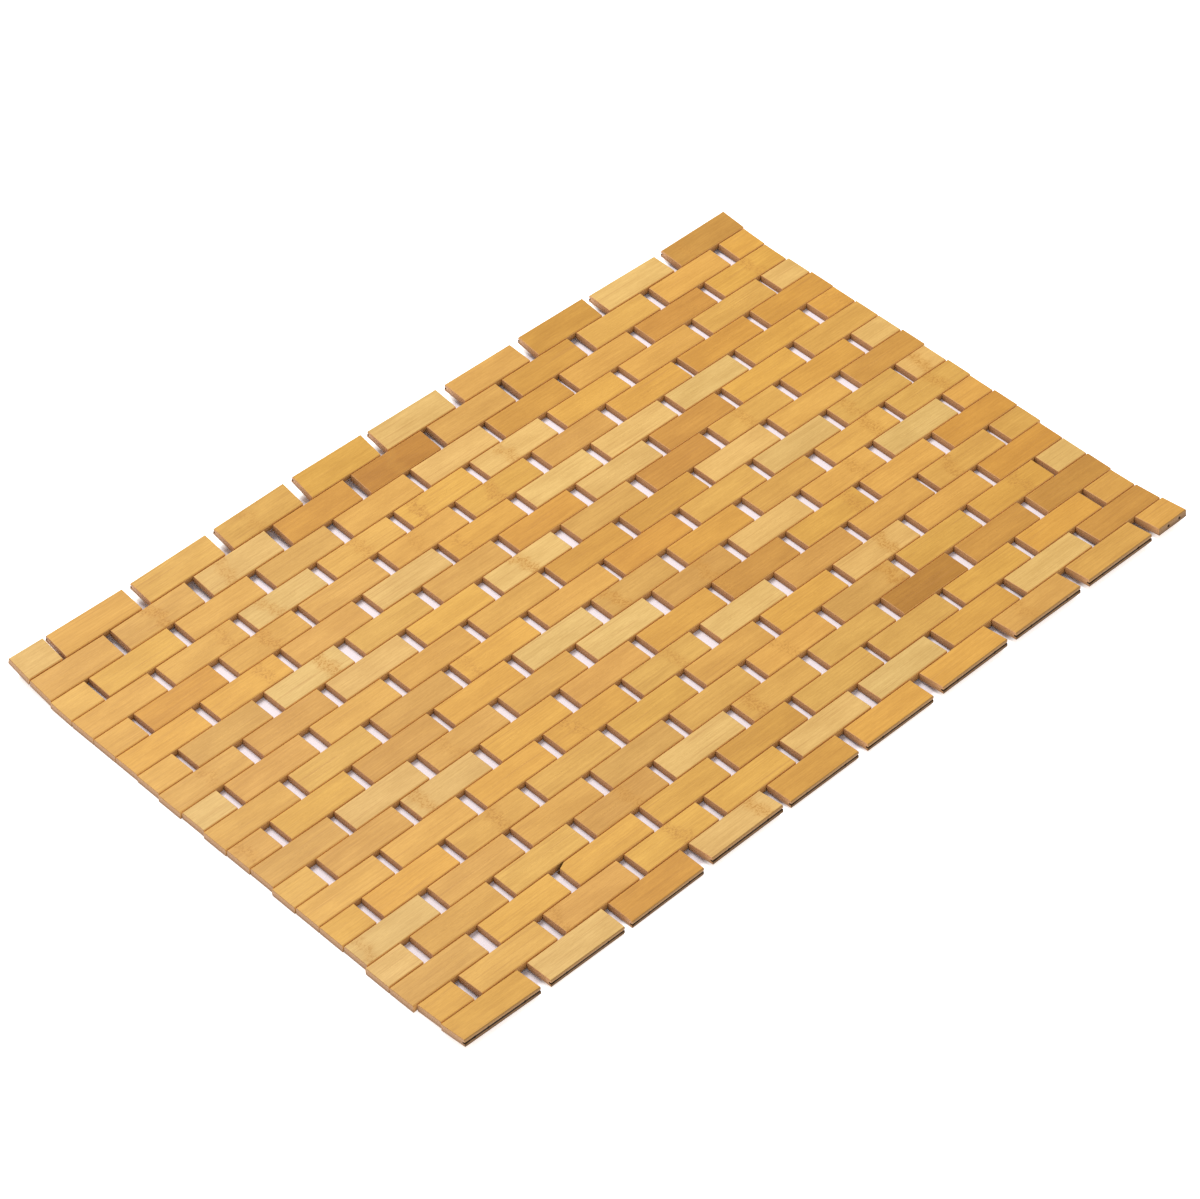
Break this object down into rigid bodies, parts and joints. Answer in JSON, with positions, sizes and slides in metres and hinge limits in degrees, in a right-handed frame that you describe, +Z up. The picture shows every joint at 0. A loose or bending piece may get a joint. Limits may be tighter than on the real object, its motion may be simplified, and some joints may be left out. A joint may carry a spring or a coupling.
{
  "type": "slatted bamboo bath mat",
  "caption": "Flat bamboo bath mat: short slats laid like bricks, threaded on dark cord, with both long edges curling up a little.",
  "frame": {"origin": "middle of the mat's footprint, on the floor that it lies on", "axes": "+X along the slats, +Y towards the back row, which is the upper left edge in the picture, +Z up"},
  "size_m": [0.6066, 0.4028, 0.0154],
  "materials": {
    "bamboo": "satin",
    "cord": "matte"
  },
  "bodies": {
    "root": {"left_end_back": "bamboo", "column_1_back": "bamboo", "column_2_back": "bamboo", "column_3_back": "bamboo", "column_4_back": "bamboo", "column_5_back": "bamboo", "column_6_back": "bamboo", "column_7_back": "bamboo", "column_8_back": "bamboo", "column_9_back": "bamboo", "right_end_back": "bamboo", "left_end_middle": "bamboo", "column_1_middle": "bamboo", "column_2_middle": "bamboo", "column_3_middle": "bamboo", "column_4_middle": "bamboo", "column_5_middle": "bamboo", "column_6_middle": "bamboo", "column_7_middle": "bamboo", "column_8_middle": "bamboo", "column_9_middle": "bamboo", "right_end_middle": "bamboo", "left_end_front": "bamboo", "column_1_front": "bamboo", "column_2_front": "bamboo", "column_3_front": "bamboo", "column_4_front": "bamboo", "column_5_front": "bamboo", "column_6_front": "bamboo", "column_7_front": "bamboo", "column_8_front": "bamboo", "column_9_front": "bamboo", "right_end_front": "bamboo", "cord_2": "cord", "cord_4": "cord", "cord_6": "cord", "cord_8": "cord", "cord_10": "cord", "cord_12": "cord", "cord_14": "cord", "cord_16": "cord"}
  },
  "joints": []
}
